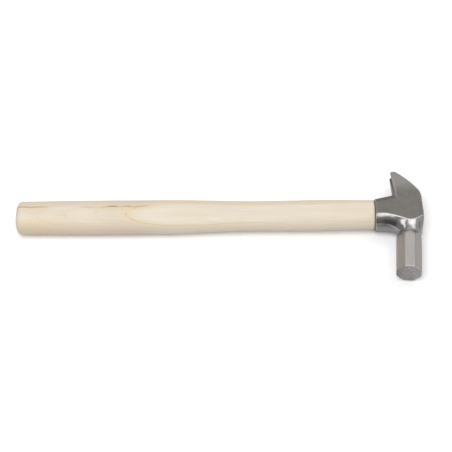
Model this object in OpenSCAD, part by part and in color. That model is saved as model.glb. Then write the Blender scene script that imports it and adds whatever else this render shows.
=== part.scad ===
// Farrier hammer lying on its side: forged head with a nail claw and an eight-sided poll,
// an oval hardwood handle, and the wedges that lock the handle in the eye.
// Millimetres. +X runs from the butt of the handle to the head, +Y to the claw, +Z up.

/* [Whole hammer] */
// Length from the butt of the handle to the top of the head
overall_len = 355; // [320:1:380]
// Thickness of the head across its flat cheeks
cheek_w = 24; // [22.5:0.5:26]

/* [Socket] */
// Length of the socket along the handle
socket_len = 41.8; // [38:0.2:44]
// Radius of the socket's poll side
low_r = 13; // [12.6:0.1:13.5]
// Radius of the socket's claw side
high_r = 12.6; // [12.3:0.1:13.5]
// Radius of the boss round the eye's top end, on the poll side
boss_r = 12.2; // [12.1:0.1:12.8]
// Distance from the eye's centre to the socket's poll side, at the mouth
socket_low = 15.4; // [15:0.1:16.5]
// Distance from the eye's centre to the socket's claw side, at the mouth
socket_high = 13.8; // [13.7:0.1:16]
// Slope of the socket's poll side
low_slope = 4; // [1:0.5:5]
// Slope of the socket's claw side, up to the root of the claw
high_slope = 14.5; // [10:0.5:16]

/* [Eye] */
// Width of the eye across the cheeks, at the mouth
eye_w = 19.8; // [18.5:0.1:20]
// Height of the eye from poll side to claw side, at the mouth
eye_h = 26; // [25:0.1:26.4]
// How much wider the eye gets towards the top, each side
eye_flare = 0.6; // [0.2:0.1:0.8]

/* [Claw] */
// Distance from the eye's centre to the tips of the claw
claw_reach = 43.8; // [40:0.2:47]
// Width of the claw across its two tips
claw_tip_w = 11.4; // [10.5:0.1:13]
// Width of the nail slot between the tips
slot_mouth_w = 6.4; // [6:0.1:7]
// Width of the nail slot at its crotch
slot_crotch_w = 1.4; // [1:0.1:2]
// Distance from the eye's centre to the crotch of the nail slot
slot_crotch_y = 19.5; // [18.5:0.1:21]

/* [Poll] */
// Distance from the eye's centre to the striking face
face_reach = 62.6; // [56:0.1:66]
// Width of the poll across its flats
poll_w = 21.4; // [21:0.2:23.4]
// Radius of the neck
neck_r = 9.35; // [8.8:0.05:10]
// Distance from the eye's centre to the narrowest part of the neck
neck_y = 23.2; // [22:0.1:24]
// Lean of the poll towards the handle
poll_lean = 3.5; // [0:0.5:4]
// Radius of the hollow curve that joins the neck to the socket
flare_r = 18; // [15:0.5:19]
// Radius of the hollow between the neck and the socket on the handle side
elbow_r = 7; // [5:0.5:9]

/* [Handle] */
// Height of the grip at its fullest
grip_h = 31.2; // [29:0.2:33]
// Width of the grip at its fullest
grip_w = 23.9; // [22:0.1:23.9]
// Height of the handle at the waist
waist_h = 28.2; // [26:0.2:29]
// Width of the handle at the waist
waist_w = 19.8; // [18.5:0.1:21]
// Depth of the rounded butt
butt_depth = 5.5; // [4:0.5:7]

/* [Wedges] */
// Thickness of the wooden wedge at its outer end
wood_wedge_t = 3.6; // [3:0.1:4.5]
// Depth of the wooden wedge
wood_wedge_depth = 27; // [22:1:30]
// Thickness of each steel wedge at its outer end
steel_wedge_t = 2.4; // [2:0.1:3]
// Depth of each steel wedge
steel_wedge_depth = 15; // [12:1:18]
// Width of each steel wedge
steel_wedge_w = 12.4; // [10:0.2:13]
// Distance between the two steel wedges
steel_wedge_pitch = 11; // [9:0.5:13]

/* [Hidden] */

// Colours
STEEL = [0.52, 0.51, 0.5];
ASH = [0.87, 0.8, 0.68];
WEDGE_WOOD = [0.72, 0.58, 0.4];
WEDGE_STEEL = [0.42, 0.42, 0.44];

// Places along the handle, measured from the butt
mouth_x = overall_len - socket_len;
root_x = overall_len - 23.4;
neck_x = overall_len - 13.3;
cheek_z = cheek_w / 2;

// Outline of the head seen from the cheek
top_high = [overall_len - 1.2, 14];
top_low = [overall_len, -10.5];
top_corner_r = 18;
claw_back = [overall_len - 22, claw_reach];
claw_front = [overall_len - 26, claw_reach - 0.9];
claw_back_r = 230;
claw_back_y = 15.8;
claw_front_r = 180;
claw_front_y = 17.5;
claw_side_y = 14;
claw_inset = (cheek_w - claw_tip_w) / 2;
claw_side_r = (pow(claw_reach - claw_side_y, 2) + claw_inset * claw_inset) / (2 * claw_inset);
claw_foot_y = -7;
low_end_r = 30;

// How far a shape runs on past what it joins, trims or cuts
run_on = 6;
far = 60;
step = 0.01;

// Poll and neck
flare_turn = 70;
flare_cap = 3;
elbow_tuck = 0.3;
elbow_sink = 0.2;
boss_lift = 2.8;
shoulder_h = 6.2;
shoulder_bead = [1.2, 1.6];
face_chamfer = 0.7;
poll_corner_r = poll_w / 2 / cos(22.5);
face_low = neck_y + (face_reach - neck_y) * cos(poll_lean) + poll_w / 2 * sin(poll_lean);

// Eye, handle and wedges
eye_straight = socket_len * 0.45;
eye_taper = socket_len - eye_straight + 2;
tenon_end_x = overall_len - 1.2;
fit_gap = 0.06;
ring_sides = 44;
dome_rings = 8;
grip_rings = 26;
butt_power = 2.4;
wedge_clearance = 2.4;
wood_wedge_edge = 0.8;
steel_wedge_edge = 0.4;
slot_r = slot_crotch_w / 2;
overlap = 0.5;

// Centre of the circle of radius r through p and q that lies to the left of the way from p to q
function arc_centre(p, q, r) =
    let (m = (p + q) / 2, d = q - p, half = norm(d) / 2)
    m + sqrt(r * r - half * half) * [-d[1], d[0]] / norm(d);

// Even steps of an arc, as points
function arc(c, r, a0, a1, steps) = [
    for (i = [0 : steps]) let (a = a0 + (a1 - a0) * i / steps) c + r * [cos(a), sin(a)]
];

// Smooth value between the stations of a table of [x, value] rows
function ease(t) = t * t * (3 - 2 * t);
function along(table, x, i = 0) =
    i >= len(table) - 1 ? table[len(table) - 1][1]
    : x <= table[i][0] ? table[i][1]
    : x < table[i + 1][0] ?
        table[i][1] + (table[i + 1][1] - table[i][1]) * ease((x - table[i][0]) / (table[i + 1][0] - table[i][0]))
    : along(table, x, i + 1);

// Places the hammer on its side: the box centred over the origin, the lower cheek on the floor
module place() {
    translate([-overall_len / 2, (face_low - claw_reach) / 2, cheek_z]) children();
}

// One rounded side of the socket: the half of a rod that slopes away from the height y at the mouth
module socket_side(y, slope, r, side) {
    translate([mouth_x, y, 0]) rotate([0, 0, slope]) intersection() {
        translate([-run_on, 0, 0]) rotate([0, 90, 0])
            cylinder(h = socket_len + 2 * run_on, r = r, $fn = 96);
        translate([-run_on - 1, side < 0 ? -far : 0, -cheek_z])
            cube([socket_len + 2 * run_on + 2, far, cheek_w]);
    }
}

// The socket before the eye is cut: two rounded sides that slope apart, and what lies between them
module socket_block() {
    low_c = low_r - socket_low;
    high_c = socket_high - high_r;
    back = run_on - 2;
    front = socket_len + back;
    socket_side(low_c, -low_slope, low_r, -1);
    socket_side(high_c, high_slope, high_r, 1);
    translate([0, 0, -cheek_z]) linear_extrude(height = cheek_w)
        polygon([
            [mouth_x - back, low_c + tan(low_slope) * back],
            [mouth_x + front, low_c - tan(low_slope) * front],
            [mouth_x + front, high_c + tan(high_slope) * front],
            [mouth_x - back, high_c - tan(high_slope) * back]
        ]);
}

// The edge from the top end round its corner and up the back of the claw, as points
function top_edge() =
    let (
        line = (top_high - top_low) / norm(top_high - top_low),
        inward = [-line[1], line[0]],
        back = arc_centre([top_high[0], claw_back_y], claw_back, claw_back_r),
        start = top_low + top_corner_r * inward,
        half_b = (start - back) * line,
        gap = pow(norm(start - back), 2) - pow(claw_back_r - top_corner_r, 2),
        corner = start + (sqrt(half_b * half_b - gap) - half_b) * line,
        a_line = atan2(-inward[1], -inward[0]),
        a_back = atan2(corner[1] - back[1], corner[0] - back[0]),
        a_tip = atan2(claw_back[1] - back[1], claw_back[0] - back[0])
    )
    concat(arc(corner, top_corner_r, a_line, a_back, 8), arc(back, claw_back_r, a_back, a_tip, 10));

// Outline of the body and claw, seen from the cheek
module claw_outline() {
    foot = top_low + (claw_foot_y - top_low[1]) / (top_high[1] - top_low[1]) * (top_high - top_low);
    front = arc_centre([root_x, claw_front_y], claw_front, claw_front_r);
    tip_slope = [10, 3];
    difference() {
        polygon(concat(
            [[root_x - run_on, claw_foot_y], foot],
            top_edge(),
            [claw_front + tip_slope * 0.04, claw_front - tip_slope, [root_x - run_on, claw_front_y]]
        ));
        translate(front) circle(r = claw_front_r, $fn = 180);
    }
}

// One side of the claw seen from the handle: straight up the cheek, then curving in to the tip
function claw_edge(side) = [
    for (i = [0 : 8])
        let (y = claw_side_y + i * (far - claw_side_y) / 8)
        [y, side * (cheek_z - claw_side_r + sqrt(claw_side_r * claw_side_r - pow(y - claw_side_y, 2)))]
];

// The claw and the body under it, before the nail slot is cut
module claw_block() {
    intersection() {
        translate([0, 0, -far / 2]) linear_extrude(height = far) claw_outline();
        translate([mouth_x, 0, 0]) rotate([90, 0, 90]) linear_extrude(height = far)
            polygon(concat(
                [[-far, cheek_z]],
                claw_edge(1),
                [for (i = [8 : -1 : 0]) claw_edge(-1)[i]],
                [[-far, -cheek_z]]
            ));
    }
}

// The hollow curve from the neck up into the socket, about the poll's axis
module flare() {
    top = flare_r * sin(flare_turn) + flare_cap;
    profile = concat(
        [[0, 0]],
        arc([neck_r + flare_r, 0], flare_r, 180, 180 - flare_turn, 16),
        [[neck_r + flare_r, top], [0, top]]
    );
    rotate_extrude($fn = 96) polygon(profile);
}

// The bend that fills the corner between the neck and the poll side of the socket
module elbow() {
    tube_r = neck_r - elbow_tuck;
    low = tan(low_slope) * (neck_x - mouth_x - neck_r) + socket_low;
    translate([neck_x - neck_r - elbow_r + elbow_sink, -low - elbow_r + elbow_sink, 0])
        rotate_extrude(angle = 90, $fn = 96)
            translate([elbow_r + tube_r, 0]) circle(r = tube_r, $fn = 64);
}

// The rounded wall under the eye's top end, past the neck
module boss() {
    translate([neck_x, boss_r - neck_y + boss_lift, 0]) rotate([0, 90, 0])
        cylinder(h = far, r = boss_r, $fn = 96);
}

// The eight-sided poll with its shoulder, and the bevelled rim of the striking face
module poll() {
    drop = face_reach - neck_y;
    rim = poll_corner_r + 0.2;
    intersection() {
        rotate([0, 0, 22.5]) translate([0, 0, -drop]) cylinder(h = drop, r = poll_corner_r, $fn = 8);
        rotate_extrude($fn = 96) polygon([
            [0, -drop],
            [rim - face_chamfer, -drop],
            [rim, -drop + face_chamfer],
            [rim, -shoulder_h],
            [neck_r + shoulder_bead[0], -shoulder_bead[1]],
            [neck_r, 0],
            [0, 0]
        ]);
    }
}

// The poll's own axis: +Z runs from the striking face to the eye
module on_poll_axis() {
    translate([neck_x, -neck_y, 0]) rotate([0, 0, -poll_lean]) rotate([-90, 0, 0]) children();
}

// Socket, flare and claw, trimmed by the flat cheeks and the top end
module body() {
    intersection() {
        union() {
            socket_block();
            on_poll_axis() flare();
            elbow();
            boss();
        }
        translate([0, 0, -cheek_z]) linear_extrude(height = cheek_w) head_outline();
    }
    claw_block();
}

// Outline that trims the top end and the mouth of the socket, seen from the cheek
module head_outline() {
    low_corner = [neck_x + neck_r + 0.1, -neck_y];
    low_arc = arc_centre(low_corner, top_low, low_end_r);
    a0 = atan2(low_corner[1] - low_arc[1], low_corner[0] - low_arc[0]);
    a1 = atan2(top_low[1] - low_arc[1], top_low[0] - low_arc[0]);
    polygon(concat(
        [[mouth_x, -neck_y]],
        arc(low_arc, low_end_r, a0, a1, 8),
        top_edge(),
        [
            claw_front + [-8, 8],
            [root_x - 4, socket_high + 8],
            [mouth_x, socket_high + overlap]
        ]
    ));
}

// The eye: oval, straight from the mouth, then wider towards the top
module eye() {
    half = eye_w / 2;
    scale([1, eye_h / eye_w, 1]) rotate([0, 90, 0]) {
        translate([0, 0, mouth_x - 1]) cylinder(h = eye_straight + 1, r = half, $fn = 96);
        translate([0, 0, mouth_x + eye_straight - step])
            cylinder(h = eye_taper, r1 = half, r2 = half + eye_flare, $fn = 96);
    }
}

// The nail slot: a V with a round crotch, right through the claw
module nail_slot() {
    past = claw_reach + run_on;
    wide = slot_mouth_w / 2;
    translate([mouth_x, 0, 0]) rotate([90, 0, 90]) linear_extrude(height = far) {
        translate([slot_crotch_y, 0]) circle(r = slot_r, $fn = 32);
        polygon([
            [slot_crotch_y, -slot_r],
            [claw_reach, -wide],
            [past, -wide - slot_r],
            [past, wide + slot_r],
            [claw_reach, wide],
            [slot_crotch_y, slot_r]
        ]);
    }
}

module head() {
    color(STEEL) place() difference() {
        union() {
            body();
            on_poll_axis() poll();
        }
        eye();
        nail_slot();
    }
}

// Handle stations: half height, half width and offset towards the poll, against distance from the butt
half_h = [[0, grip_h / 2 - 0.7], [75, grip_h / 2], [128, grip_h / 2 - 0.1], [206, waist_h / 2],
    [262, waist_h / 2 + 0.5], [mouth_x - 1, waist_h / 2 - 0.1]];
half_w = [[0, grip_w / 2], [120, grip_w / 2], [206, waist_w / 2 + 0.1], [mouth_x - 1, waist_w / 2 + 0.8]];
offset_y = [[0, -1.35], [110, -1.2], [200, -0.45], [mouth_x - 20, 0]];
squareness = [[0, 2.3], [150, 2.3], [230, 2.1], [mouth_x - 10, 2]];

// One ring of the handle: an oval whose corners fill out with the squareness
function oval_ring(x, a, b, y0, n) = [
    for (i = [0 : ring_sides - 1])
        let (t = 360 * i / ring_sides, c = cos(t), s = sin(t))
        [x, y0 + a * sign(c) * pow(abs(c), 2 / n), b * sign(s) * pow(abs(s), 2 / n)]
];

// How far the rounded butt has opened at distance x from its end
function butt_open(x) =
    x >= butt_depth ? 1 : pow(1 - pow(1 - x / butt_depth, butt_power), 1 / butt_power);

function handle_ring(x) =
    let (f = butt_open(x))
    oval_ring(x, f * along(half_h, x), f * along(half_w, x), along(offset_y, x), along(squareness, x));

function tenon_ring(x, grow) =
    oval_ring(x, eye_h / 2 - fit_gap + grow * eye_h / eye_w, eye_w / 2 - fit_gap + grow, 0, 2);

// A skin over a list of rings, closed at both ends
module skin(rings) {
    n = len(rings[0]);
    last = len(rings) - 1;
    points = [for (ring = rings) each ring];
    sides = [
        for (k = [0 : last - 1], i = [0 : n - 1])
            let (j = (i + 1) % n)
            each [
                [k * n + i, k * n + j, (k + 1) * n + i],
                [k * n + j, (k + 1) * n + j, (k + 1) * n + i]
            ]
    ];
    ends = [[for (i = [n - 1 : -1 : 0]) i], [for (i = [0 : n - 1]) last * n + i]];
    polyhedron(points = points, faces = concat(sides, ends));
}

// A wedge whose thin edge lies depth inside the top end. Its thickness runs along Z.
module wedge_blank(width, thick, depth, edge) {
    rotate([90, 0, 0]) translate([0, 0, -width / 2]) linear_extrude(height = width)
        polygon([
            [tenon_end_x - depth, -edge / 2],
            [tenon_end_x, -thick / 2],
            [tenon_end_x, thick / 2],
            [tenon_end_x - depth, edge / 2]
        ]);
}

module wood_wedge_blank() {
    wedge_blank(eye_h - wedge_clearance, wood_wedge_t, wood_wedge_depth, wood_wedge_edge);
}

module steel_wedge_blank(side) {
    translate([0, side * steel_wedge_pitch / 2, 0]) rotate([90, 0, 0])
        wedge_blank(steel_wedge_w, steel_wedge_t, steel_wedge_depth, steel_wedge_edge);
}

module handle() {
    first = 0.35;
    mouth_gap = 0.6;
    dome = [for (i = [0 : dome_rings - 1]) butt_depth * (1 - cos(90 * (i + first) / dome_rings))];
    grip = [for (i = [0 : grip_rings]) butt_depth + (mouth_x - mouth_gap - butt_depth) * i / grip_rings];
    end_grow = eye_flare * (tenon_end_x - mouth_x - eye_straight) / eye_taper;
    rings = concat(
        [for (x = dome) handle_ring(x)],
        [for (x = grip) handle_ring(x)],
        [
            tenon_ring(mouth_x - 0.1, 0),
            tenon_ring(mouth_x + eye_straight, 0),
            tenon_ring(tenon_end_x, end_grow)
        ]
    );
    color(ASH) place() difference() {
        skin(rings);
        wood_wedge_blank();
        for (side = [-1, 1]) steel_wedge_blank(side);
    }
}

module wooden_wedge() {
    color(WEDGE_WOOD) place() difference() {
        wood_wedge_blank();
        for (side = [-1, 1]) steel_wedge_blank(side);
    }
}

module steel_wedge(side) {
    color(WEDGE_STEEL) place() steel_wedge_blank(side);
}

head();
handle();
wooden_wedge();
steel_wedge(1);  // steel_wedge_claw_side
steel_wedge(-1);  // steel_wedge_poll_side
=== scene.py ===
import math

import bmesh
import bpy
import numpy as np
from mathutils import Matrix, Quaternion, Vector


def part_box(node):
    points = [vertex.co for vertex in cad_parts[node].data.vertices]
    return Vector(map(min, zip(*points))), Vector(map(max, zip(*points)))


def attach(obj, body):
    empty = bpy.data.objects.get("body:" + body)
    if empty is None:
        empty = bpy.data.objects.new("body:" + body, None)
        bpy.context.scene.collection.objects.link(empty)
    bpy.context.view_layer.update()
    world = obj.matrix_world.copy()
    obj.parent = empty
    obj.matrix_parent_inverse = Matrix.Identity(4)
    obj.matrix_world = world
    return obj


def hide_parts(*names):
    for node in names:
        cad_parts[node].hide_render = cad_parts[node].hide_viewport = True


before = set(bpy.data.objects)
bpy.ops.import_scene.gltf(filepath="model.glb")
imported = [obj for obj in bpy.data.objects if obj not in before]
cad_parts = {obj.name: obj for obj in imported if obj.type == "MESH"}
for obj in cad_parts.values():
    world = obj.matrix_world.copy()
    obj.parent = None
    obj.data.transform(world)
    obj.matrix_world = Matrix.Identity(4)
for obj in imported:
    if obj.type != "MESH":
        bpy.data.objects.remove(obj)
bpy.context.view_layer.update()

bl_info = {
    "name": "Farrier Hammer",
    "version": (1, 0, 0),
    "blender": (4, 5, 0),
    "location": "3D View > Sidebar > Hammer",
    "description": "Models the finished head, handle and wedges of a farrier hammer round its CAD frame",
    "category": "Add Mesh",
}

MM = 0.001
# Sides of a round form
ROUND = 256
HEAD_LOW, HEAD_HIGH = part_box("head")
WEDGE_LOW, WEDGE_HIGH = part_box("wooden_wedge")
HANDLE_LOW, HANDLE_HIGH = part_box("handle")

# The hammer's own point: where the eye's axis comes out of the top end, midway between the cheeks
TOP = Vector((HEAD_HIGH.x, (WEDGE_LOW.y + WEDGE_HIGH.y) / 2, (HEAD_LOW.z + HEAD_HIGH.z) / 2))
SOCKET_LEN = HEAD_HIGH.x - HEAD_LOW.x
CLAW_REACH = HEAD_HIGH.y - TOP.y
CHEEK = (HEAD_HIGH.z - HEAD_LOW.z) / 2
HANDLE_LEN = HANDLE_HIGH.x - HANDLE_LOW.x
# The eye is straight this far from the mouth and then widens. Its tool runs on past both ends
EYE_STRAIGHT = SOCKET_LEN * 0.45
EYE_PAST = 2 * MM


def srgb(red, green, blue):
    """A colour as it looks on screen, 0 to 255, in the linear values that shaders use."""
    def linear(v):
        v /= 255
        return v / 12.92 if v <= 0.04045 else ((v + 0.055) / 1.055) ** 2.4
    return (linear(red), linear(green), linear(blue))


def length(name, text, default):
    """A length property, in metres, shown in the scene's units."""
    return bpy.props.FloatProperty(
        name=name, description=text, default=default, unit="LENGTH", precision=5)


def angle(name, text, degrees):
    """An angle property, given in degrees."""
    return bpy.props.FloatProperty(
        name=name, description=text, default=math.radians(degrees), unit="ROTATION")


def colour(name, text, default):
    """A colour property."""
    return bpy.props.FloatVectorProperty(
        name=name, description=text, default=default, size=3, subtype="COLOR", min=0, max=1)


class HeadSizes(bpy.types.PropertyGroup):
    """Sizes of the forged head."""

    low_r: length("Poll side radius", "Radius of the socket's poll side", 13 * MM)
    high_r: length("Claw side radius", "Radius of the socket's claw side", 12.6 * MM)
    socket_low: length("Socket low", "Eye's axis to the socket's poll side at the mouth", 15.4 * MM)
    socket_high: length("Socket high", "Eye's axis to the socket's claw side at the mouth", 13.8 * MM)
    low_slope: angle("Low slope", "Slope of the socket's poll side", 4)
    high_slope: angle("High slope", "Slope of the socket's claw side", 14.5)
    neck_back: length("Neck place", "Top end to the poll's axis at the neck", 13.3 * MM)
    neck_y: length("Neck height", "Eye's axis to the narrowest part of the neck", 23.2 * MM)
    neck_r: length("Neck radius", "Radius of the neck", 9.35 * MM)
    poll_lean: angle("Poll lean", "Lean of the poll towards the handle", 3.5)
    poll_w: length("Poll width", "Width of the poll across its flats", 21.4 * MM)
    flare_r: length("Flare radius", "Hollow curve between neck and socket", 18 * MM)
    elbow_r: length("Elbow radius", "Hollow in the corner between neck and socket", 7 * MM)
    end_wall_r: length("End wall radius", "Radius of the wall under the eye's top end", 12.5 * MM)
    claw_tip_w: length("Claw tip width", "Width of the claw across its tips", 11.4 * MM)
    slot_mouth_w: length("Slot mouth", "Width of the nail slot between the tips", 6.4 * MM)
    slot_crotch_w: length("Slot crotch", "Width of the nail slot at its crotch", 1.4 * MM)
    slot_crotch_y: length("Slot depth", "Eye's axis to the crotch of the nail slot", 19.5 * MM)
    eye_w: length("Eye width", "Width of the eye across the cheeks", 19.8 * MM)
    eye_h: length("Eye height", "Height of the eye from poll side to claw side", 26 * MM)
    eye_flare: length("Eye flare", "How much wider the eye is at the top, each side", 0.6 * MM)
    square: length("Grain of the mesh", "Size of the finished mesh's squares", 0.42 * MM)


class HandleSizes(bpy.types.PropertyGroup):
    """Sizes of the handle."""

    grip_h: length("Grip height", "Height of the grip at its fullest", 31.2 * MM)
    grip_w: length("Grip width", "Width of the grip at its fullest", 23.9 * MM)
    waist_h: length("Waist height", "Height of the handle at the waist", 28.2 * MM)
    waist_w: length("Waist width", "Width of the handle at the waist", 19.8 * MM)
    butt_depth: length("Butt depth", "Depth of the rounded butt", 5.5 * MM)


class Finishes(bpy.types.PropertyGroup):
    """Colours of the steel and the wood."""

    ground: colour("Ground steel", "Flat ground cheeks and claw", srgb(169, 164, 159))
    polished: colour("Polished steel", "Mirror-polished socket and neck", srgb(212, 209, 207))
    brushed: colour("Brushed steel", "Facets of the poll", srgb(236, 230, 225))
    ash_pale: colour("Pale ash", "Lightest wood", srgb(227, 217, 200))
    ash_warm: colour("Warm ash", "Middle tone of the wood", srgb(208, 193, 173))
    ash_gold: colour("Golden ash", "Glow beside the growth rings", srgb(222, 203, 164))
    ash_brown: colour("Brown grain", "Grain lines and streaks", srgb(158, 124, 86))
    wedge_wood: colour("Wedge wood", "Wooden wedge", srgb(186, 150, 108))
    wedge_steel: colour("Wedge steel", "Steel wedges", srgb(118, 118, 122))


class StageSettings(bpy.types.PropertyGroup):
    """Camera, lights and floor."""

    distance: length("Camera distance", "Camera to the middle of the picture", 1.5)
    elevation: angle("Elevation", "How far the camera looks down", 53.5)
    roll: angle("Roll", "Turn of the camera about its line of sight", 0.34)
    lens: bpy.props.FloatProperty(
        name="Lens", description="Focal length on a 36 mm sensor, in millimetres", default=136.7)
    floor: colour("Floor", "Colour of the floor", (0.93, 0.93, 0.93))
    floor_in_steel: colour(
        "Floor in steel", "Shade of the floor that the steel reflects", (0.475, 0.465, 0.49))
    dark: bpy.props.FloatProperty(
        name="Dark front", description="Light that the steel sees from round the camera", default=0.075)


class Wire:
    """A number that varies over a surface. Operators on it add Math nodes."""

    def __init__(self, finish, socket):
        self.finish = finish
        self.socket = socket

    def math(self, operation, *values):
        return self.finish.add("ShaderNodeMath", {"operation": operation}, dict(enumerate(values)))

    def __add__(self, other):
        return self.math("ADD", self, other)

    def __radd__(self, other):
        return self.math("ADD", other, self)

    def __sub__(self, other):
        return self.math("SUBTRACT", self, other)

    def __rsub__(self, other):
        return self.math("SUBTRACT", other, self)

    def __mul__(self, other):
        return self.math("MULTIPLY", self, other)

    def __rmul__(self, other):
        return self.math("MULTIPLY", other, self)

    def __truediv__(self, other):
        return self.math("DIVIDE", self, other)

    def __rtruediv__(self, other):
        return self.math("DIVIDE", other, self)

    def __abs__(self):
        return self.math("ABSOLUTE", self)

    def __neg__(self):
        return self.math("MULTIPLY", self, -1.0)

    def rise(self, low, high):
        """0 below low and 1 above high, smooth between them."""
        return self.finish.add(
            "ShaderNodeMapRange", {"interpolation_type": "SMOOTHSTEP"},
            {"Value": self, "From Min": low, "From Max": high})

    def exp(self):
        """e raised to the number."""
        return self.math("EXPONENT", self)

    def fraction(self):
        """What is left of the number past its whole part."""
        return self.math("FRACT", self)

    def or_more(self, other):
        """The greater of two numbers."""
        return self.math("MAXIMUM", self, other)


class Finish:
    """A material, or the world, and the nodes in it."""

    def __init__(self, name, world=False):
        self.result = (bpy.data.worlds if world else bpy.data.materials).new(name)
        self.result.use_nodes = True
        self.tree = self.result.node_tree
        self.tree.nodes.clear()

    def add(self, kind, settings=None, inputs=None, out=0):
        """Adds a node, sets it up, fills its sockets and gives one of its outputs."""
        node = self.tree.nodes.new(kind)
        for key, value in (settings or {}).items():
            setattr(node, key, value)
        for key, value in (inputs or {}).items():
            if isinstance(value, Wire):
                self.tree.links.new(value.socket, node.inputs[key])
            else:
                node.inputs[key].default_value = value
        return Wire(self, node.outputs[out])

    def place(self, scale=(1, 1, 1), turn=(0, 0, 0), shift=(0, 0, 0)):
        """Object coordinates, measured from the hammer's own point in millimetres, turned and stretched."""
        here = self.add("ShaderNodeTexCoord", out=3)
        local = self.add(
            "ShaderNodeMapping", {},
            {"Vector": here, "Location": -TOP / MM, "Scale": (1 / MM, 1 / MM, 1 / MM)})
        if scale == (1, 1, 1) and turn == (0, 0, 0) and shift == (0, 0, 0):
            return local
        return self.add(
            "ShaderNodeMapping", {},
            {"Vector": local, "Location": shift, "Rotation": turn, "Scale": scale})

    def split(self, vector):
        """The three parts of a vector."""
        first = self.add("ShaderNodeSeparateXYZ", {}, {"Vector": vector})
        node = first.socket.node
        return [Wire(self, output) for output in node.outputs]

    def noise(self, vector, scale=1.0, detail=2.0, roughness=0.5):
        """A cloudy number from 0 to 1."""
        return self.add(
            "ShaderNodeTexNoise", {"noise_dimensions": "3D"},
            {"Vector": vector, "Scale": scale, "Detail": detail, "Roughness": roughness})

    def attribute(self, name):
        """A number that the mesh carries at its points."""
        return self.add("ShaderNodeAttribute", {"attribute_name": name}, out=2)

    def mix(self, factor, first, second):
        """One colour turning into another."""
        def rgba(value):
            return value if isinstance(value, Wire) else (*value, 1)
        return self.add(
            "ShaderNodeMix", {"data_type": "RGBA"}, {0: factor, 6: rgba(first), 7: rgba(second)}, out=2)

    def rays(self):
        """1 for the camera's rays and 1 for those that the steel reflects."""
        path = self.add("ShaderNodeLightPath").socket.node
        return Wire(self, path.outputs["Is Camera Ray"]), Wire(self, path.outputs["Is Glossy Ray"])

    def bump(self, height, strength, distance):
        """A relief that is too fine for the mesh."""
        return self.add(
            "ShaderNodeBump", {}, {"Height": height, "Strength": strength, "Distance": distance})

    def surface(self, **sockets):
        """Ends the material in a Principled surface."""
        inputs = {key.replace("_", " ").title(): value for key, value in sockets.items()}
        return self.end_in(self.add("ShaderNodeBsdfPrincipled", {}, inputs))

    def end_in(self, shader, kind="ShaderNodeOutputMaterial"):
        """Puts a shader on the output and gives what is made."""
        end = self.tree.nodes.new(kind)
        self.tree.links.new(shader.socket, end.inputs["Surface"])
        return self.result


def dimmed(shade, by):
    """A colour made darker, or lighter where by is over 1."""
    return tuple(part * by for part in shade)


def deselect():
    """Leaves edit mode and selects nothing."""
    if bpy.context.object and bpy.context.object.mode != "OBJECT":
        bpy.ops.object.mode_set(mode="OBJECT")
    bpy.ops.object.select_all(action="DESELECT")


def activate(obj):
    """Selects one object alone."""
    deselect()
    obj.select_set(True)
    bpy.context.view_layer.objects.active = obj
    return obj


def edit(obj):
    """Opens a mesh for editing with everything selected."""
    activate(obj)
    bpy.ops.object.mode_set(mode="EDIT")
    bpy.ops.mesh.select_all(action="SELECT")


def leave_edit():
    """Goes back from the mesh to the object."""
    bpy.ops.object.mode_set(mode="OBJECT")


def apply_all(obj):
    """Applies an object's modifiers in their order."""
    activate(obj)
    for modifier in list(obj.modifiers):
        bpy.ops.object.modifier_apply(modifier=modifier.name)


def combine(target, tool, operation):
    """Joins, cuts or trims one solid by another, which is used up."""
    modifier = target.modifiers.new(operation.title(), "BOOLEAN")
    modifier.operation = operation
    modifier.solver = "EXACT"
    modifier.object = tool
    apply_all(target)
    bpy.data.objects.remove(tool)
    return target


def join(target, *others):
    """Puts solids that overlap in one mesh, each still whole."""
    activate(target)
    for other in others:
        other.select_set(True)
    bpy.ops.object.join()
    return target


def place_points(obj, points):
    """Puts a mesh's points in place."""
    obj.data.vertices.foreach_set("co", np.asarray(points, dtype=np.float32).ravel())
    obj.data.update()


def turn_into_place(obj, location, rotation=(0, 0, 0)):
    """Turns and moves a solid, and makes that its own shape."""
    obj.location = location
    obj.rotation_euler = rotation
    activate(obj)
    bpy.ops.object.transform_apply(location=True, rotation=True, scale=True)
    return obj


def outward(obj):
    """Turns every face outwards."""
    edit(obj)
    bpy.ops.mesh.normals_make_consistent(inside=False)
    leave_edit()
    return obj


def merge_doubles(obj):
    """Merges points that lie within a thousandth of a millimetre of each other."""
    edit(obj)
    bpy.ops.mesh.remove_doubles(threshold=1e-6)
    leave_edit()
    return obj


def plate(name, outline, low, high):
    """A flat outline in the XY plane, extruded from the height low to high."""
    deselect()
    bpy.ops.mesh.primitive_circle_add(vertices=len(outline), fill_type="NGON")
    obj = bpy.context.object
    obj.name = name
    place_points(obj, [(x, y, low) for x, y in outline])
    edit(obj)
    bpy.ops.mesh.extrude_region_move(TRANSFORM_OT_translate={"value": (0, 0, high - low)})
    leave_edit()
    return outward(obj)


def turn_upright(obj):
    """Turns a solid that was drawn in XY so that its outline lies across the handle, in Y and Z."""
    turn_into_place(obj, (0, 0, 0), (math.pi / 2, 0, 0))
    return turn_into_place(obj, (0, 0, 0), (0, 0, math.pi / 2))


def rod(name, radius, low, high):
    """A round bar along X."""
    deselect()
    bpy.ops.mesh.primitive_cylinder_add(vertices=ROUND, radius=radius, depth=high - low)
    obj = bpy.context.object
    obj.name = name
    return turn_into_place(obj, ((low + high) / 2, 0, 0), (0, math.radians(90), 0))


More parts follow.
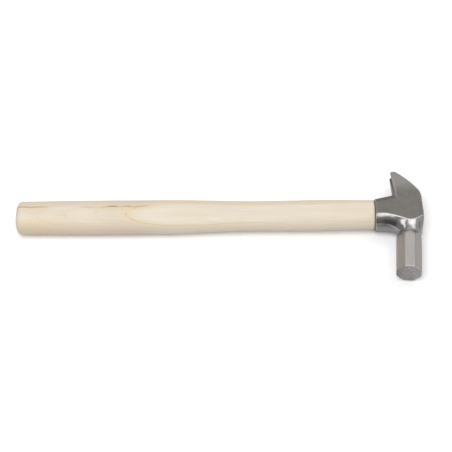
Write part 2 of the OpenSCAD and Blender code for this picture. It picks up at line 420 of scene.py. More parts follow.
def turned(name, profile):
    """A profile of (radius, height) points that starts and ends on the Z axis, spun about it."""
    deselect()
    bpy.ops.mesh.primitive_circle_add(vertices=len(profile), fill_type="NOTHING")
    obj = bpy.context.object
    obj.name = name
    place_points(obj, [(r, 0, z) for r, z in profile])
    edit(obj)
    bpy.ops.mesh.select_all(action="DESELECT")
    leave_edit()
    last = len(profile) - 1
    for e in obj.data.edges:
        e.select = set(e.vertices) == {0, last}
    bpy.ops.object.mode_set(mode="EDIT")
    bpy.ops.mesh.delete(type="EDGE")
    bpy.ops.mesh.select_all(action="SELECT")
    bpy.ops.mesh.spin(steps=ROUND, angle=math.tau, center=(0, 0, 0), axis=(0, 0, 1))
    bpy.ops.mesh.select_all(action="SELECT")
    bpy.ops.mesh.remove_doubles(threshold=1e-7)
    leave_edit()
    return outward(obj)


def arc(centre, radius, first, last, steps):
    """Points of an arc, from one angle to another."""
    angles = np.linspace(first, last, steps + 1)
    return [(centre[0] + radius * math.cos(a), centre[1] + radius * math.sin(a)) for a in angles]


def arc_centre(p, q, radius):
    """Centre of the circle through p and q that lies to the left of the way from p to q."""
    p, q = np.array(p), np.array(q)
    d = q - p
    span = np.linalg.norm(d)
    return (p + q) / 2 + math.sqrt(radius**2 - span**2 / 4) * np.array((-d[1], d[0])) / span


def arc_between(p, q, radius, steps):
    """Points of the arc from p to q that bulges to the right of the way between them."""
    c = arc_centre(p, q, radius)
    a = math.atan2(p[1] - c[1], p[0] - c[0])
    b = math.atan2(q[1] - c[1], q[0] - c[0])
    if b < a:
        b += math.tau
    return arc(c, radius, a, b, steps)


class HeadShape:
    """The forged head, in its own frame: x from the top end, y from the eye's axis, z from the middle."""

    far = 60 * MM
    claw_back_r = 230 * MM
    claw_back_y = 15.8 * MM
    claw_front_r = 180 * MM
    corner_r = 18 * MM
    low_end_r = 30 * MM
    claw_side_y = 14 * MM
    claw_foot_y = -7 * MM
    top_high = (-1.2 * MM, 14 * MM)
    top_low = (0, -10.5 * MM)

    def __init__(self, sizes):
        self.s = sizes
        self.mouth = -SOCKET_LEN
        self.root = (-23.4 * MM, 17.5 * MM)
        self.claw_back = (-22 * MM, CLAW_REACH)
        self.claw_front = (-26 * MM, CLAW_REACH - 0.9 * MM)

    def socket(self):
        """Two rounded sides that slope apart, with what lies between them. They end past the outline."""
        s = self.s
        low_y = s.low_r - s.socket_low
        high_y = s.socket_high - s.high_r
        before, past, core_past = 8 * MM, 6 * MM, 4 * MM
        low = turn_into_place(
            rod("socket_low", s.low_r, -before, SOCKET_LEN - s.neck_back), (self.mouth, low_y, 0),
            (0, 0, -s.low_slope))
        high = turn_into_place(
            rod("socket_high", s.high_r, -before, SOCKET_LEN + past), (self.mouth, high_y, 0),
            (0, 0, s.high_slope))
        near, end = -core_past, SOCKET_LEN + core_past
        core = plate("socket_core", [
            (self.mouth + x, y + math.tan(slope) * x)
            for x, y, slope in (
                (near, low_y, -s.low_slope), (end, low_y, -s.low_slope),
                (end, high_y, s.high_slope), (near, high_y, s.high_slope))
        ], -CHEEK, CHEEK)
        combine(low, high, "UNION")
        return combine(low, core, "UNION")

    def on_poll_axis(self, obj):
        """Puts a solid that was made about +Z on the poll's leaning axis."""
        s = self.s
        turn_into_place(obj, (0, 0, 0), (-math.pi / 2, 0, 0))
        return turn_into_place(obj, (-s.neck_back, -s.neck_y, 0), (0, 0, -s.poll_lean))

    def flare(self):
        """The hollow curve from the neck up into the socket."""
        s = self.s
        spread = math.radians(70)
        stem, cap = 9 * MM, 3 * MM
        curve = arc((s.neck_r + s.flare_r, 0), s.flare_r, math.pi, math.pi - spread, 40)
        rim, height = curve[-1]
        return self.on_poll_axis(turned("flare", [
            (0, -stem), (s.neck_r, -stem), *curve, (rim, height + cap), (0, height + cap),
        ]))

    def elbow(self):
        """The bend that fills the corner between the neck and the socket."""
        s = self.s
        sink = 0.2 * MM
        tube = s.neck_r - 0.3 * MM
        low = math.tan(s.low_slope) * (SOCKET_LEN - s.neck_back - s.neck_r) + s.socket_low
        deselect()
        bpy.ops.mesh.primitive_torus_add(
            major_segments=ROUND, minor_segments=ROUND // 2, major_radius=s.elbow_r + tube, minor_radius=tube)
        bend = bpy.context.object
        for normal in ((-1, 0, 0), (0, -1, 0)):
            edit(bend)
            bpy.ops.mesh.bisect(plane_co=(0, 0, 0), plane_no=normal, use_fill=True, clear_outer=True)
            leave_edit()
        outward(bend)
        x = -s.neck_back - s.neck_r - s.elbow_r + sink
        return turn_into_place(bend, (x, -low - s.elbow_r + sink, 0))

    def end_wall(self):
        """The wall under the eye's top end: it widens from the neck and leans out over it."""
        s = self.s
        rise, lean = 15 * MM, 3.2 * MM
        deselect()
        bpy.ops.mesh.primitive_cone_add(
            vertices=ROUND, radius1=s.neck_r, radius2=s.end_wall_r, depth=rise, location=(0, 0, rise / 2))
        wall = bpy.context.object
        turn_into_place(wall, wall.location)
        for v in wall.data.vertices:
            v.select = v.co.z > rise / 2
        activate(wall)
        bpy.ops.object.mode_set(mode="EDIT")
        bpy.ops.transform.translate(value=(lean, 0, 0))
        leave_edit()
        return self.on_poll_axis(wall)

    def body_outline(self):
        """What trims the top end and the mouth, seen from the cheek."""
        s = self.s
        neck_x = -s.neck_back + s.neck_r + 0.1 * MM
        in_poll = -s.neck_y - 5 * MM
        clear = 8 * MM
        return [
            (self.mouth, in_poll),
            (neck_x, in_poll),
            *arc_between((neck_x, -s.neck_y), self.top_low, self.low_end_r, 16),
            *self.top_edge(),
            (self.claw_front[0] - clear, self.claw_front[1] + clear),
            (self.root[0] - clear / 2, s.socket_high + clear),
            (self.mouth, s.socket_high + 0.5 * MM),
        ]

    def top_edge(self):
        """The edge from the top end round its corner and up the back of the claw."""
        low, high = np.array(self.top_low), np.array(self.top_high)
        back = arc_centre((self.top_high[0], self.claw_back_y), self.claw_back, self.claw_back_r)
        line = (high - low) / np.linalg.norm(high - low)
        inward = np.array((-line[1], line[0]))
        start = low + self.corner_r * inward - back
        reach = self.claw_back_r - self.corner_r
        half = start @ line
        along = math.sqrt(half**2 - start @ start + reach**2) - half
        corner = low + self.corner_r * inward + along * line
        a_line = math.atan2(-inward[1], -inward[0])
        a_back = math.atan2(corner[1] - back[1], corner[0] - back[0])
        a_tip = math.atan2(self.claw_back[1] - back[1], self.claw_back[0] - back[0])
        return [
            *arc(corner, self.corner_r, a_line, a_back, 20),
            *arc(back, self.claw_back_r, a_back, a_tip, 24),
        ]

    def claw_outline(self):
        """The claw and the body under it, seen from the cheek."""
        low, high = np.array(self.top_low), np.array(self.top_high)
        foot = low + (self.claw_foot_y - low[1]) / (high[1] - low[1]) * (high - low)
        front = arc_between(self.root, self.claw_front, self.claw_front_r, 24)
        return [
            (self.root[0] - 0.6 * MM, self.claw_foot_y),
            tuple(foot),
            *self.top_edge(),
            *front[::-1],
        ]

    def claw(self):
        """The claw's outline, thinned towards the tips."""
        s = self.s
        inset = CHEEK - s.claw_tip_w / 2
        thinned = CLAW_REACH - self.claw_side_y
        radius = (thinned**2 + inset**2) / (2 * inset)
        side = [(-self.far, CHEEK)]
        for rise in np.linspace(0, 1.3 * thinned, 40):
            side.append((self.claw_side_y + rise, CHEEK - radius + math.sqrt(radius**2 - rise**2)))
        outline = side + [(y, -z) for y, z in reversed(side)]
        taper = turn_upright(plate("claw_sides", outline, -self.far, self.far))
        return combine(plate("claw", self.claw_outline(), -CHEEK, CHEEK), taper, "INTERSECT")

    def poll(self):
        """The eight-sided poll, coned at its shoulder and bevelled at the striking face."""
        s = self.s
        half_facet = math.pi / 8
        corner = s.poll_w / 2 / math.cos(half_facet)
        lean = s.poll_lean
        face_low = TOP.y - HEAD_LOW.y
        drop = (face_low - s.neck_y - s.poll_w / 2 * math.sin(lean)) / math.cos(lean)
        deselect()
        bpy.ops.mesh.primitive_cylinder_add(vertices=8, radius=corner, depth=drop)
        prism = bpy.context.object
        turn_into_place(prism, (0, 0, -drop / 2), (0, 0, half_facet))
        outside = corner + 0.2 * MM
        bevel = 0.7 * MM
        cone_drop = 6.2 * MM
        bead_out, bead_drop = 1.2 * MM, 1.6 * MM
        shoulder = turned("shoulder", [
            (0, -drop), (outside - bevel, -drop), (outside, -drop + bevel), (outside, -cone_drop),
            (s.neck_r + bead_out, -bead_drop), (s.neck_r, 0), (0, 0),
        ])
        return self.on_poll_axis(combine(prism, shoulder, "INTERSECT"))

    def eye(self):
        """The oval eye, wider towards the top."""
        s = self.s
        half = s.eye_w / 2
        end = SOCKET_LEN + EYE_PAST
        bore = turned("eye", [
            (0, -EYE_PAST), (half, -EYE_PAST), (half, EYE_STRAIGHT), (half + s.eye_flare, end), (0, end),
        ])
        bore.scale = (1, s.eye_h / s.eye_w, 1)
        return turn_into_place(bore, (self.mouth, 0, 0), (0, math.pi / 2, 0))

    def nail_slot(self):
        """The V between the prongs, with its round crotch."""
        s = self.s
        wide = s.slot_mouth_w / 2
        past, wider = 5 * MM, 0.4 * MM
        return turn_upright(plate("nail_slot", [
            *arc((s.slot_crotch_y, 0), s.slot_crotch_w / 2, math.pi / 2, math.pi * 1.5, 24),
            (CLAW_REACH, -wide), (CLAW_REACH + past, -wide - wider),
            (CLAW_REACH + past, wide + wider), (CLAW_REACH, wide),
        ], -self.far, self.far))

    def build(self):
        """Joins the forms, cuts the eye and slot, and rounds the edges as grinding and polishing do."""
        head = self.socket()
        for form in (self.flare(), self.elbow(), self.end_wall()):
            combine(head, form, "UNION")
        self.even_squares(head, 1.7 * self.s.square)
        self.ease(head, 120)
        x, y, z = (read_points(head) / MM).T
        # Below the cheek, from near the mouth to the neck
        hollow = fade(x, -41, -35) * fade(x, -17, -23) * fade(y, -1, -6) * fade(y, -25, -20)
        self.ease(head, 300, "hollow", hollow)
        combine(head, plate("outline", self.body_outline(), -CHEEK, CHEEK), "INTERSECT")
        claw = self.claw()
        for part in (head, claw):
            combine(part, self.eye(), "DIFFERENCE")
            combine(part, self.nail_slot(), "DIFFERENCE")
        head.name = "finished_head"
        return self.polish(join(head, claw, self.poll()))

    def polish(self, head):
        """Makes one skin of even squares and eases its creases, more where the neck meets the poll."""
        self.even_squares(head, self.s.square)
        self.ease(head, 5)
        x, y, z = (read_points(head) / MM).T
        self.ease(head, 16, "neck", fade(-y, 14, 18) * fade(-y, 26, 23.5) * fade(abs(z), 11.7, 9.2))
        return head

    def even_squares(self, head, size):
        """Covers what is there with one closed skin of squares."""
        remesh = head.modifiers.new("Even squares", "REMESH")
        remesh.mode = "VOXEL"
        remesh.voxel_size = size
        apply_all(head)

    def ease(self, head, times, name=None, weights=None):
        """Smooths the mesh, all over or by a weight at each point."""
        smooth = head.modifiers.new("Ease", "SMOOTH")
        smooth.factor = 0.5
        smooth.iterations = times
        if name:
            group = head.vertex_groups.new(name=name)
            for index in np.nonzero(weights > 0.01)[0]:
                group.add([int(index)], float(weights[index]), "REPLACE")
            smooth.vertex_group = name
        apply_all(head)


def write_numbers(obj, name, values):
    """Stores one number at each point of a mesh."""
    attribute = obj.data.attributes.new(name, "FLOAT", "POINT")
    attribute.data.foreach_set("value", np.asarray(values, dtype=np.float32))


def read_points(obj):
    co = np.empty(len(obj.data.vertices) * 3, dtype=np.float32)
    obj.data.vertices.foreach_get("co", co)
    return co.reshape(-1, 3)


def read_normals(obj):
    normals = np.empty(len(obj.data.vertices) * 3, dtype=np.float32)
    obj.data.vertex_normals.foreach_get("vector", normals)
    return normals.reshape(-1, 3)


def bulge(obj):
    """How far each point stands proud of its neighbours, along its normal."""
    co, normals = read_points(obj), read_normals(obj)
    ends = np.empty(len(obj.data.edges) * 2, dtype=np.int32)
    obj.data.edges.foreach_get("vertices", ends)
    a, b = ends.reshape(-1, 2).T
    total = np.zeros_like(co)
    count = np.zeros(len(co))
    for here, there in ((a, b), (b, a)):
        np.add.at(total, here, co[there])
        np.add.at(count, here, 1)
    return ((co - total / count[:, None]) * normals).sum(axis=1)


def fade(value, none, full):
    """0 where a value is at none or past it, 1 from full on, smooth between them."""
    t = np.clip((value - none) / (full - none), 0, 1)
    return t * t * (3 - 2 * t)


def mark_finishes(head, sizes):
    """Says at each point how far the steel is ground or brushed, where its convex edges show wear and a
    painted highlight, where painted shade darkens the claw's front and the nail slot, and where the face is.
    """
    x, y, z = (read_points(head) / MM).T
    nx, ny, nz = read_normals(head).T
    cheek, neck, tip = CHEEK / MM, sizes.neck_y / MM, sizes.claw_tip_w / 2 / MM
    cheeks = fade(abs(nz), 0.93, 0.985) * fade(abs(z), cheek - 0.6, cheek - 0.2)
    claw_sides = fade(abs(nz), 0.80, 0.9) * fade(y, 12, 15)
    socket_under_claw = fade(abs(nz), 0.35, 0.5) * fade(ny, -0.02, 0.05) * fade(y, 3, 5)
    write_numbers(head, "ground", np.maximum.reduce([cheeks, claw_sides, socket_under_claw]))
    write_numbers(head, "brushed", fade(-y, neck + 1.5, neck + 6))
    # Convex edges: wear, and a painted highlight along them
    write_numbers(head, "wear_and_edge_highlight", fade(bulge(head) / MM, 0.005, 0.022))
    # From 0 in the middle of the claw to 1 at its sides
    across = abs(z) / (cheek - (cheek - tip) * (np.clip(y - 14, 0, 34) / 33) ** 2)
    # Painted shade: the claw's front near its root and the walls of the nail slot are darkened
    front = fade(-nx, 0.4, 0.8) * fade(y, 14, 16) * fade(across, 0.97, 0.8) * (0.5 + 0.5 * fade(y, 34, 18))
    slot_walls = fade(y, 18.5, 19.5) * fade(across, 0.75, 0.62) * fade(abs(nz), 0.5, 0.8)
    write_numbers(head, "painted_slot_shade", np.maximum(front, slot_walls))
    write_numbers(head, "face", fade(-ny, 0.8, 0.95) * fade(-y, 55, 57))


def head_steel(colours):
    """Forged steel: ground cheeks and claw, a mirror on the socket and neck, brushed facets on the poll."""
    f = Finish("head_steel")
    # Lightened edges (wear and painted highlight), painted shade for the claw's front and nail slot, painted
    # shade under the cheek by the mouth
    bare_edge_highlight, painted_slot_shade, mouth_shade_grey = (0.85, 0.84, 0.83), (0.05, 0.05, 0.055), (0.16, 0.155, 0.15)
    x, y, z = f.split(f.place())
    ground, brushed, face, wear_and_edge_highlight = (f.attribute(name) for name in ("ground", "brushed", "face", "wear_and_edge_highlight"))
    cloud = f.noise(f.place(), 0.12, 4, 0.6)
    scratch = f.noise(f.place(scale=(0.35, 3.0, 3.0), turn=(0, 0, 0.25)), 1.0, 3, 0.6)
    lines = f.noise(f.place(scale=(3.5, 0.12, 3.5)), 1.0, 3, 0.6)
    mottle = f.noise(f.place(), 0.55, 5, 0.65)
    polished = f.mix(cloud, colours.polished, dimmed(colours.polished, 0.93))
    cheek = f.mix(cloud.rise(0.3, 0.7), dimmed(colours.ground, 0.92), dimmed(colours.ground, 1.08))
    facets = f.mix(lines.rise(0.3, 0.7), dimmed(colours.brushed, 0.9), dimmed(colours.brushed, 1.1))
    strike = f.mix(mottle.rise(0.35, 0.7), dimmed(colours.brushed, 0.64), dimmed(colours.brushed, 0.9))
    tone = f.mix(brushed, polished, facets)
    tone = f.mix(face, tone, strike)
    # Painted light: the ground claw is lightened towards its tips
    claw = y.rise(13, 35)
    tone = f.mix(ground, tone, f.mix(claw * 0.85, cheek, colours.brushed))
    mouth = 1 - x.rise(-44, -32)
    rough = 0.12 + cloud * 0.06 + mouth * 0.12
    rough = rough + brushed * (0.46 - rough + lines * 0.12)
    rough = rough + face * (0.42 - rough)
    rough = rough + ground * (0.4 - rough + scratch * 0.08)
    rough = rough * (1 - wear_and_edge_highlight * 0.3)
    # Painted shade: under the cheek near the mouth the polished steel is darkened, dimming its highlight
    # there
    mouth_highlight_shade = (1 - x.rise(-45, -32)) * y.rise(-11, -7) * (1 - ground)
    # Convex edges lightened: wear and a painted highlight
    tone = f.mix(wear_and_edge_highlight * 0.6, tone, bare_edge_highlight)
    # Painted shade darkens the claw's front and the nail slot
    tone = f.mix(f.attribute("painted_slot_shade") * 0.82, tone, painted_slot_shade)
    tone = f.mix(mouth_highlight_shade * 0.5, tone, mouth_shade_grey)
    height = scratch * ground * 0.6 + lines * brushed * (1 - ground) + mottle * face
    return f.surface(
        base_color=tone, metallic=1.0, roughness=rough, normal=f.bump(height, 0.25, 0.00015))


class HAMMER_OT_head(bpy.types.Operator):
    """Model the forged head in place of its CAD solid"""

    bl_idname = "hammer.head"
    bl_label = "Head"

    def execute(self, context):
        sizes = context.scene.hammer_head
        head = build_whole(HeadShape(sizes), "head")
        mark_finishes(head, sizes)
        head.data.materials.clear()
        head.data.materials.append(head_steel(context.scene.hammer_finishes))
        activate(head)
        bpy.ops.object.shade_smooth()
        turn_into_place(head, TOP)
        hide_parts("head")
        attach(head, "root")
        return {"FINISHED"}


def ease_table(table, x):
    """Smooth value between the stations of a table of (x, value) rows."""
    stations = [row[0] for row in table]
    i = int(np.clip(np.searchsorted(stations, x) - 1, 0, len(table) - 2))
    (x0, v0), (x1, v1) = table[i], table[i + 1]
    t = min(max((x - x0) / (x1 - x0), 0), 1)
    return v0 + (v1 - v0) * t * t * (3 - 2 * t)


class HandleShape:
    """The ash handle: x from the butt, y from the eye's axis, z from the middle."""

    sides = 96
    dome_rings = 24
    grip_rings = 150
    waist = 206 * MM

    def __init__(self, sizes, head):
        self.s = sizes
        self.head = head
        self.mouth = HANDLE_LEN + (TOP.x - HANDLE_HIGH.x) - SOCKET_LEN
        m = self.mouth
        self.half_h = [
            (0, sizes.grip_h / 2 - 0.7 * MM), (75 * MM, sizes.grip_h / 2),
            (128 * MM, sizes.grip_h / 2 - 0.1 * MM), (self.waist, sizes.waist_h / 2),
            (262 * MM, sizes.waist_h / 2 + 0.5 * MM), (m - 1 * MM, sizes.waist_h / 2 - 0.1 * MM)]
        self.half_w = [
            (0, sizes.grip_w / 2), (120 * MM, sizes.grip_w / 2),
            (self.waist, sizes.waist_w / 2 + 0.1 * MM), (m - 1 * MM, sizes.waist_w / 2 + 0.8 * MM)]
        self.offset_y = [(0, -1.35 * MM), (110 * MM, -1.2 * MM), (200 * MM, -0.45 * MM), (m - 20 * MM, 0)]
        self.squareness = [(0, 2.3), (150 * MM, 2.3), (230 * MM, 2.1), (m - 10 * MM, 2)]

    def oval(self, x, a, b, y0, n):
        """Points round an oval section. It is an ellipse at n = 2 and squarer above that."""
        t = np.linspace(0, math.tau, self.sides, endpoint=False)
        c, s = np.cos(t), np.sin(t)
        y = y0 + a * np.sign(c) * abs(c) ** (2 / n)
        z = b * np.sign(s) * abs(s) ** (2 / n)
        return np.stack([np.full_like(y, x), y, z], axis=1)

    def ring(self, x):
        """The handle's section at x, drawn in where the butt is rounded."""
        depth = self.s.butt_depth
        roundness = 2.4
        opened = 1 if x >= depth else (1 - (1 - x / depth) ** roundness) ** (1 / roundness)
        return self.oval(
            x, opened * ease_table(self.half_h, x), opened * ease_table(self.half_w, x),
            ease_table(self.offset_y, x), ease_table(self.squareness, x))

    def tenon_ring(self, x, grow):
        """The tenon's section, with a hair's gap to the eye."""
        gap = 0.06 * MM
        return self.oval(
            x, self.head.eye_h / 2 - gap + grow * self.head.eye_h / self.head.eye_w,
            self.head.eye_w / 2 - gap + grow, 0, 2)

    def stations(self):
        """Rings close together on the rounded butt, then even along the grip."""
        depth = self.s.butt_depth
        turns = (math.pi / 2 * (i + 0.12) / self.dome_rings for i in range(self.dome_rings))
        dome = [depth * (1 - math.cos(turn)) for turn in turns]
        grip = list(np.linspace(depth, self.mouth - 0.6 * MM, self.grip_rings))
        return dome + grip

    def build(self):
        """A bar whose rings are put on the handle's sections, with the tenon at its end."""
        widens = SOCKET_LEN - EYE_STRAIGHT + EYE_PAST
        grow = self.head.eye_flare * (HANDLE_LEN - self.mouth - EYE_STRAIGHT) / widens
        rings = [self.ring(x) for x in self.stations()]
        rings += [
            self.tenon_ring(self.mouth - 0.1 * MM, 0), self.tenon_ring(self.mouth + EYE_STRAIGHT, 0),
            self.tenon_ring(HANDLE_LEN, grow)]
        deselect()
        bpy.ops.mesh.primitive_circle_add(vertices=self.sides, fill_type="NGON")
        handle = bpy.context.object
        handle.name = "finished_handle"
        place_points(handle, rings[0])
        edit(handle)
        for _ in rings[1:]:
            bpy.ops.mesh.extrude_region_move(TRANSFORM_OT_translate={"value": (1 * MM, 0, 0)})
        leave_edit()
        place_points(handle, self.in_order(handle, rings))
        outward(handle)
        turn_into_place(handle, (-HANDLE_LEN + HANDLE_HIGH.x, TOP.y, TOP.z))
        wedges = solid_copy("wooden_wedge")
        for name in ("steel_wedge_claw_side", "steel_wedge_poll_side"):
            combine(wedges, solid_copy(name), "UNION")
        return merge_doubles(combine(handle, merge_doubles(wedges), "DIFFERENCE"))

    def in_order(self, handle, rings):
        """The rings' points in the mesh's own order: each extrusion lies one step on and keeps its angle."""
        co = read_points(handle)
        start = np.array(rings[0])
        placed = np.empty_like(co)
        for index, point in enumerate(co):
            ring = int(round((point[0] - start[0][0]) / MM))
            nearest = int(np.argmin(np.sum((start[:, 1:] - point[1:]) ** 2, axis=1)))
            placed[index] = rings[ring][nearest]
        return placed


def solid_copy(node):
    """A copy of a CAD node with its loose triangles merged."""
    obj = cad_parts[node].copy()
    obj.data = obj.data.copy()
    obj.parent = None
    bpy.context.scene.collection.objects.link(obj)
    return merge_doubles(obj)


def volume(obj):
    """How much a solid holds."""
    solid = bmesh.new()
    solid.from_mesh(obj.data)
    held = solid.calc_volume()
    solid.free()
    return held


def build_whole(shape, node):
    """Builds a solid, again if it holds more or less than its CAD node because a cut has failed."""
    for _ in range(4):
        solid = shape.build()
        if abs(volume(solid) / volume(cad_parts[node]) - 1) < 0.01:
            return solid
        bpy.data.objects.remove(solid)
    raise RuntimeError(f"The finished {node} doesn't hold as much as its CAD node")


def growth_rings(f, x, y, z):
    """The wood's age inwards from the ring that shows most, in years.

    The layers lie almost flat. They dip from the butt to the apex and then level out towards the head,
    so the surface cuts them into arches."""
    apex, year_thick, main_level = -255.5, 3.4, 7.9
    wander = f.noise(f.place(scale=(0.02, 0.1, 0.1)), 1.0, 2) - 0.5
    level = z * 0.977 - (y + 1.2) * 0.215 + wander * 1.3
    past = ((x - apex).or_more(0) / -30).exp() * 4.26
    before = (apex - x).or_more(0) * 0.13
    return (main_level - (level - past - before)) / year_thick


def ash(colours):
    """Pale ash: arched growth rings, fine fibre and pores, and a brown streak along the grip's top, with
    painted shade along its lower side and in the gap at the eye.
    """
    f = Finish("handle_ash")
    pale, warm, gold, brown = colours.ash_pale, colours.ash_warm, colours.ash_gold, colours.ash_brown
    x, y, z = f.split(f.place())
    years = growth_rings(f, x, y, z)
    year = years.fraction()
    main_ring = 1 - abs(years).rise(0.08, 0.4)
    fibre = f.noise(f.place(scale=(0.03, 1.3, 1.3)), 1.0, 4, 0.65)
    pores = f.noise(f.place(scale=(0.11, 5.5, 5.5)), 1.0, 2, 0.5).rise(0.62, 0.74)
    drift = f.noise(f.place(scale=(0.015, 0.12, 0.12)), 1.0, 3, 0.5).rise(0.35, 0.65)
    patch = f.noise(f.place(scale=(0.03, 0.25, 0.25), shift=(7, 3, 5)), 1.0, 2, 0.5)
    line = 1 - year.rise(0, 0.08) + year.rise(0.95, 1)
    glow = 1 - year.rise(0.02, 0.36)
    below = years.rise(0, 0.5) * x.rise(-300, -255)
    butt_low = (1 - x.rise(-330, -296)) * (1 - y.rise(-14, -7))
    tone = f.mix(drift * 0.3 + (1 - x.rise(-260, -225)) * 0.12, pale, warm)
    tone = f.mix(below * 0.5, tone, warm)
    tone = f.mix(butt_low * 0.6, tone, gold)
    grip = 1 - x.rise(-250, -215)
    # Painted shade: the handle is darkened along its lower side, more on the grip
    low = (1 - z.rise(1, 9.5)) * (1 - y.rise(-8, -3))
    high = y.rise(1.5, 5) * grip
    tone = f.mix(low * (0.15 + grip * 0.5), tone, dimmed(warm, 0.92))
    tone = f.mix(high * 0.45, tone, warm)
    tone = f.mix(glow * 0.22, tone, gold)
    tone = f.mix(main_ring * (0.6 - x.rise(-215, -120) * 0.4), tone, gold)
    tone = f.mix(line * patch.rise(0.3, 0.65) * (0.14 + main_ring * 0.3), tone, brown)
    tone = f.mix(fibre.rise(0.42, 0.72) * 0.4, tone, warm)
    tone = f.mix(pores * (0.06 + glow * 0.14), tone, brown)
    tone = grip_streak(f, x, y, z, tone, gold, brown)
    mouth = -SOCKET_LEN / MM
    # Painted shadow in the gap where the handle goes into the eye
    eye_gap_shade = x.rise(mouth - 1.1, mouth - 0.4) * (1 - x.rise(-4, -2))
    tone = f.mix(eye_gap_shade * 0.8, tone, dimmed(brown, 0.35))
    rough = 0.6 + fibre * 0.12
    height = fibre * 0.6 - pores * 0.8 - line * 0.3
    return f.surface(base_color=tone, roughness=rough, normal=f.bump(height, 0.35, 0.0002))


def grip_streak(f, x, y, z, tone, gold, brown):
    """A brown streak that wanders along the top of the grip and ends past its fullest part."""
    wander = f.noise(f.place(scale=(0.09, 0.0, 0.0)), 1.0, 1, 0.5) - 0.5
    across = y - 1.8 + wander * 3.2
    top = z.rise(4, 9)
    stretch = x.rise(-306, -272) * (1 - x.rise(-247, -236))
    start = (1 - x.rise(-334, -322)) * 0.6
    dark = f.noise(f.place(scale=(0.07, 0.3, 0.3), shift=(3, 0, 0)), 1.0, 1).rise(0.35, 0.6)
    tone = f.mix((1 - abs(across + 0.5).rise(0.6, 3.0)) * (stretch + start) * top * 0.7, tone, gold)
    return f.mix((1 - abs(across).rise(0.2, 1.5)) * (stretch * dark + start) * top * 0.85, tone, brown)


class HAMMER_OT_handle(bpy.types.Operator):
    """Model the ash handle in place of its CAD solid"""

    bl_idname = "hammer.handle"
    bl_label = "Handle"

    def execute(self, context):
        scene = context.scene
        handle = build_whole(HandleShape(scene.hammer_handle, scene.hammer_head), "handle")
        handle.data.materials.clear()
        handle.data.materials.append(ash(scene.hammer_finishes))
        activate(handle)
        bpy.ops.object.shade_smooth_by_angle(angle=math.radians(35))
        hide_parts("handle")
        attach(handle, "root")
        return {"FINISHED"}


def wedge_wood(colours):
    """Brown wood of the wedge, cut along its grain."""
    f = Finish("wedge_wood")
    fibre = f.noise(f.place(scale=(0.06, 1.8, 2.6)), 1.0, 3, 0.6)
    tone = f.mix(fibre.rise(0.35, 0.7), dimmed(colours.wedge_wood, 0.6), colours.wedge_wood)
    return f.surface(base_color=tone, roughness=0.7 + fibre * 0.1, normal=f.bump(fibre, 0.3, 0.0002))


def wedge_steel(colours):
    """Dull steel of the wedges, marked by the hammer that drove them."""
    f = Finish("wedge_steel")
    mark = f.noise(f.place(), 0.9, 4, 0.6)
    tone = f.mix(mark.rise(0.35, 0.65), dimmed(colours.wedge_steel, 0.6), colours.wedge_steel)
    return f.surface(
        base_color=tone, metallic=1.0, roughness=0.38 + mark * 0.2, normal=f.bump(mark, 0.4, 0.0002))


class HAMMER_OT_wedges(bpy.types.Operator):
    """Give the wooden wedge and the two steel wedges their finishes"""

    bl_idname = "hammer.wedges"
    bl_label = "Wedges"

    def execute(self, context):
        colours = context.scene.hammer_finishes
        steel = wedge_steel(colours)
        finishes = {
            "wooden_wedge": wedge_wood(colours),
            "steel_wedge_claw_side": steel,
            "steel_wedge_poll_side": steel,
        }
        for name, material in finishes.items():
            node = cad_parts[name]
            node.data.materials.clear()
            node.data.materials.append(material)
        return {"FINISHED"}


def floor_paper(shade, in_steel):
    """Plain matte floor, lifted to white for the camera. The steel sees it in the grey of its own shade."""
    f = Finish("floor_paper")
    camera, glossy = f.rays()
    paper = f.add("ShaderNodeBsdfDiffuse", {}, {"Color": (*shade, 1)})
    lift = f.add("ShaderNodeEmission", {}, {"Color": (1, 1, 1, 1), "Strength": camera * 0.12})
    seen = f.add("ShaderNodeAddShader", {}, {0: paper, 1: lift})
    x, y, z = f.split(f.place())
    # Painted shade: a darker patch of floor in front of the socket, seen only in the steel's reflections
    far = (-y).rise(3, 83) * x.rise(-85, -34) * (1 - x.rise(-30, -20))
    reflected = f.add("ShaderNodeBsdfDiffuse", {}, {"Color": f.mix(far, in_steel, dimmed(in_steel, 0.33))})
    return f.end_in(f.add("ShaderNodeMixShader", {}, {0: glossy, 1: seen, 2: reflected}))


def studio(settings):
    """Even light all round. The camera sees white, and the steel sees soft boxes in a grey room."""
    f = Finish("studio", world=True)
    camera, glossy = f.rays()
    x, y, z = f.split(f.add("ShaderNodeTexCoord"))
    turn = x.math("ARCTAN2", x, -y) * math.degrees(1)
    height = z.math("ARCSINE", z) * math.degrees(1)

    def panel(left, right, low, high, soft, up=height):
        """1 in a part of the room, in degrees round from the camera's side and up from the floor."""
        def span(value, first, last):
            return value.rise(first - soft, first + soft) * (1 - value.rise(last - soft, last + soft))
        return span(turn, left, right) * span(up, low, high)

    over = Vector((0.16, -0.16, 0.974))
    near_over = x * over.x + y * over.y + z * over.z
    overhead = near_over.rise(math.cos(math.radians(26)), math.cos(math.radians(14)))
    room = 0.22 + height.rise(52, 84) * 0.36 + overhead * 1.05
    aside = (-95 - turn).or_more(0)
    arched = height + aside * aside * 0.012
    room = room + panel(-122, -24, 49, 57, 3, arched) * 1.4 + panel(-33, -14, 49, 66, 4) * 0.8
    behind = abs(turn).rise(130, 160) * height.rise(2, 40) * (1 - height.rise(58, 74))
    room = room + behind * 0.3 + panel(26, 118, 2, 58, 10) * 0.2
    room = room * (1 - panel(-4, 13, 55, 80, 5) * 0.42) * (1 - panel(94, 125, 27, 35, 4) * 0.75)
    dark = panel(-42, 8, -20, 38, 10)
    room = room * (1 - dark) + dark * settings.dark
    level = room * glossy + (1 - glossy) * 0.5
    level = level * (1 - camera) + camera
    light = f.add("ShaderNodeBackground", {}, {"Color": (1, 1, 1, 1), "Strength": level})
    return f.end_in(light, "ShaderNodeOutputWorld")


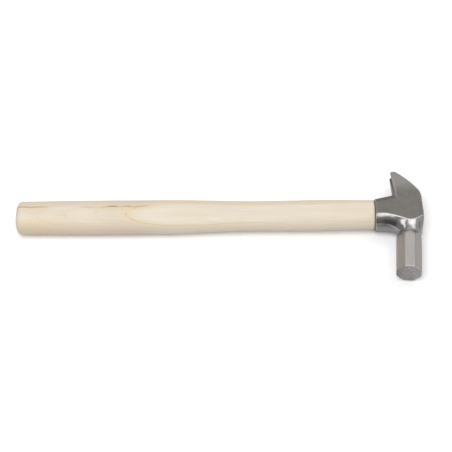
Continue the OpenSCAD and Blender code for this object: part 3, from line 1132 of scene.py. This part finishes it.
class HAMMER_OT_stage(bpy.types.Operator):
    """Set up the floor, the lights and the camera"""

    bl_idname = "hammer.stage"
    bl_label = "Stage"

    def execute(self, context):
        settings = context.scene.hammer_stage
        self.add_floor(settings)
        self.add_lights()
        context.scene.world = studio(settings)
        self.add_camera(context.scene, settings)
        context.scene.view_settings.view_transform = "Standard"
        return {"FINISHED"}

    def add_floor(self, settings):
        """A wide round floor."""
        deselect()
        bpy.ops.mesh.primitive_circle_add(vertices=96, radius=12, fill_type="NGON")
        floor = bpy.context.object
        floor.name = "floor"
        floor.data.materials.append(floor_paper(settings.floor, settings.floor_in_steel))

    def add_lights(self):
        """Two soft round lamps that the steel doesn't mirror."""
        for name, place, size, power in (
            ("key_light", (-0.3, -0.5, 1.5), 1.2, 16),
            ("fill_light", (0.9, 0.9, 1.3), 1.0, 6),
        ):
            data = bpy.data.lights.new(name, "AREA")
            data.shape = "DISK"
            data.size = size
            data.energy = power
            light = bpy.data.objects.new(name, data)
            light.location = place
            light.visible_glossy = False
            light.rotation_euler = (-Vector(place)).to_track_quat("-Z", "Y").to_euler()
            bpy.context.scene.collection.objects.link(light)

    def add_camera(self, scene, settings):
        """Looks down at the hammer from the striking face's side."""
        data = bpy.data.cameras.new("camera")
        camera = bpy.data.objects.new("camera", data)
        scene.collection.objects.link(camera)
        data.lens = settings.lens
        data.sensor_width = 36
        data.clip_end = 50
        middle = Vector((TOP.x - 171.7 * MM, TOP.y - 7.21 * MM, 6.66 * MM))
        back = Vector((0, -math.cos(settings.elevation), math.sin(settings.elevation)))
        camera.location = middle + back * settings.distance
        turn = (-back).to_track_quat("-Z", "Y")
        camera.rotation_mode = "QUATERNION"
        camera.rotation_quaternion = Quaternion(-back, settings.roll) @ turn
        scene.camera = camera


class HAMMER_PT_panel(bpy.types.Panel):
    """Lists the hammer's pieces and their sizes"""

    bl_idname = "HAMMER_PT_panel"
    bl_label = "Farrier Hammer"
    bl_space_type = "VIEW_3D"
    bl_region_type = "UI"
    bl_category = "Hammer"

    def draw(self, context):
        layout = self.layout
        for operator in OPERATORS:
            layout.operator(operator.bl_idname)
        for name in GROUPS:
            box = layout.box()
            settings = getattr(context.scene, name)
            for key in settings.bl_rna.properties.keys():
                if key not in ("rna_type", "name"):
                    box.prop(settings, key)


OPERATORS = (HAMMER_OT_head, HAMMER_OT_handle, HAMMER_OT_wedges, HAMMER_OT_stage)
GROUPS = {
    "hammer_head": HeadSizes,
    "hammer_handle": HandleSizes,
    "hammer_finishes": Finishes,
    "hammer_stage": StageSettings,
}


def register():
    for cls in (*GROUPS.values(), *OPERATORS, HAMMER_PT_panel):
        bpy.utils.register_class(cls)
    for name, cls in GROUPS.items():
        setattr(bpy.types.Scene, name, bpy.props.PointerProperty(type=cls))


def unregister():
    for name in GROUPS:
        delattr(bpy.types.Scene, name)
    for cls in reversed((*GROUPS.values(), *OPERATORS, HAMMER_PT_panel)):
        bpy.utils.unregister_class(cls)


def main():
    """Models the hammer and its stage."""
    register()
    bpy.ops.hammer.head()
    bpy.ops.hammer.handle()
    bpy.ops.hammer.wedges()
    bpy.ops.hammer.stage()


if __name__ == "__main__":
    main()
